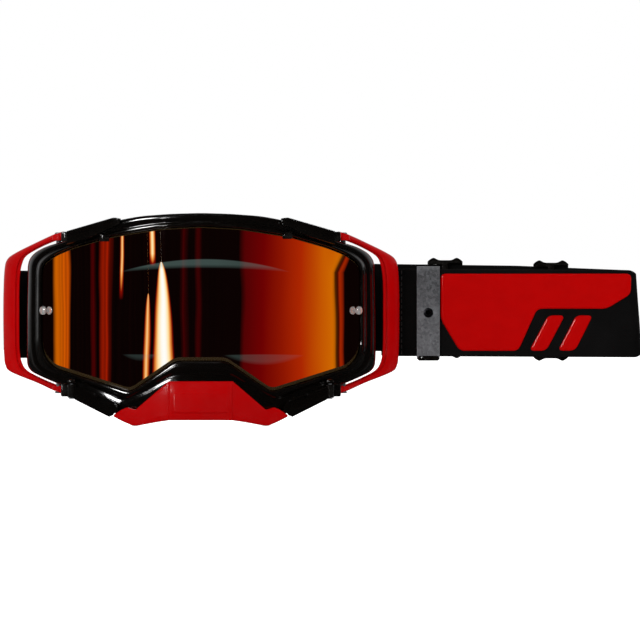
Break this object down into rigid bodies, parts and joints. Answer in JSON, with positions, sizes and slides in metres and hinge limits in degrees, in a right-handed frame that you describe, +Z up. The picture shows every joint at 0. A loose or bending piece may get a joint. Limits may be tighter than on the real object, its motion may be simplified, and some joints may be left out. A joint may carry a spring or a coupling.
{
  "type": "motocross goggles",
  "caption": "Off-road motorcycle goggles: moulded frame, mirrored cylindrical lens, hinged outriggers, lens latches, nose guard and elastic strap with slide adjusters.",
  "frame": {"origin": "on the flat underside of the nose guard's shelf, on the centre line and 11 mm behind its front edge", "axes": "+X to the folded side of the strap, seen from the front; -Y is the front, where the lens faces; +Z up"},
  "size_m": [0.302, 0.0884, 0.101],
  "materials": {
    "black_gloss_plastic": "glossy injection-moulded black thermoplastic",
    "red_gloss_plastic": "glossy injection-moulded red thermoplastic",
    "mirror_lens": "polycarbonate with a red to amber mirror coating",
    "clear_plastic": "clear moulded plastic",
    "black_foam": "open-cell polyurethane foam, black",
    "face_fleece": "brushed sweat-absorbing fleece, near black",
    "black_webbing": "woven elastic webbing, black",
    "red_silicone": "raised glossy silicone print, red",
    "grip_silicone": "translucent silicone bead",
    "galvanised_steel": "galvanised sheet and pin steel, dull grey",
    "dark_steel": "blackened steel eyelet"
  },
  "bodies": {
    "root": {"main_frame": "black_gloss_plastic", "face_foam_base": "black_foam", "face_foam_fleece": "face_fleece", "vent_foam_top": "black_foam", "vent_foam_lower_left": "black_foam", "vent_foam_lower_right": "black_foam", "lens_gasket": "black_foam", "nose_guard": "red_gloss_plastic", "nose_guard_peg_left": "black_gloss_plastic", "nose_guard_peg_right": "black_gloss_plastic", "upper_bracket_left": "black_gloss_plastic", "upper_bracket_right": "black_gloss_plastic", "latch_pin_left": "galvanised_steel", "latch_pin_right": "galvanised_steel", "outrigger_pin_upper_left": "galvanised_steel", "outrigger_pin_upper_right": "galvanised_steel", "outrigger_pin_lower_left": "galvanised_steel", "outrigger_pin_lower_right": "galvanised_steel", "strap_band": "black_webbing", "strap_print_panel": "red_silicone", "strap_print_stripe_1": "red_silicone", "strap_print_stripe_2": "red_silicone", "strap_grip_upper": "grip_silicone", "strap_grip_lower": "grip_silicone"},
    "outrigger_left": {"outrigger_left": "red_gloss_plastic", "strap_loop_left": "black_webbing"},
    "outrigger_right": {"outrigger_right": "red_gloss_plastic", "strap_loop_right": "black_webbing"},
    "latch_left": {"lens_latch_left": "black_gloss_plastic"},
    "latch_right": {"lens_latch_right": "black_gloss_plastic"},
    "lens": {"lens": "mirror_lens", "tearoff_post_left": "clear_plastic", "tearoff_post_right": "clear_plastic", "tearoff_washer_left": "clear_plastic", "tearoff_washer_right": "clear_plastic"},
    "keeper": {"strap_keeper": "galvanised_steel", "keeper_eyelet": "dark_steel"},
    "adjuster_left": {"strap_adjuster_left": "black_gloss_plastic", "strap_tail_left": "black_webbing"},
    "adjuster_right": {"strap_adjuster_right": "black_gloss_plastic", "strap_tail_right": "black_webbing"}
  },
  "joints": [
    {"name": "outrigger_left_hinge", "type": "hinge", "parent": "root", "child": "outrigger_left", "pos_m": [-0.0675, 0.0243, 0.0853], "axis": [0, 0, 1], "range_deg": [0, 6]},
    {"name": "outrigger_right_hinge", "type": "hinge", "parent": "root", "child": "outrigger_right", "pos_m": [0.0675, 0.0243, 0.0853], "axis": [0, 0, -1], "range_deg": [0, 6]},
    {"name": "latch_left_hinge", "type": "hinge", "parent": "root", "child": "latch_left", "pos_m": [-0.0613, 0.0116, 0.0106], "axis": [0, 0, -1], "range_deg": [0, 65]},
    {"name": "latch_right_hinge", "type": "hinge", "parent": "root", "child": "latch_right", "pos_m": [0.0613, 0.0116, 0.0106], "axis": [0, 0, 1], "range_deg": [0, 65]},
    {"name": "lens_slide", "type": "slide", "parent": "root", "child": "lens", "axis": [0, -1, 0], "range_m": [0, 0.01]},
    {"name": "keeper_slide", "type": "slide", "parent": "root", "child": "keeper", "axis": [-1, 0, 0], "range_m": [0, 0.0055]},
    {"name": "adjuster_left_slide", "type": "slide", "parent": "root", "child": "adjuster_left", "axis": [1, 0, 0], "range_m": [-0.01, 0.01]},
    {"name": "adjuster_right_slide", "type": "slide", "parent": "root", "child": "adjuster_right", "axis": [1, 0, 0], "range_m": [-0.008, 0.008]}
  ]
}
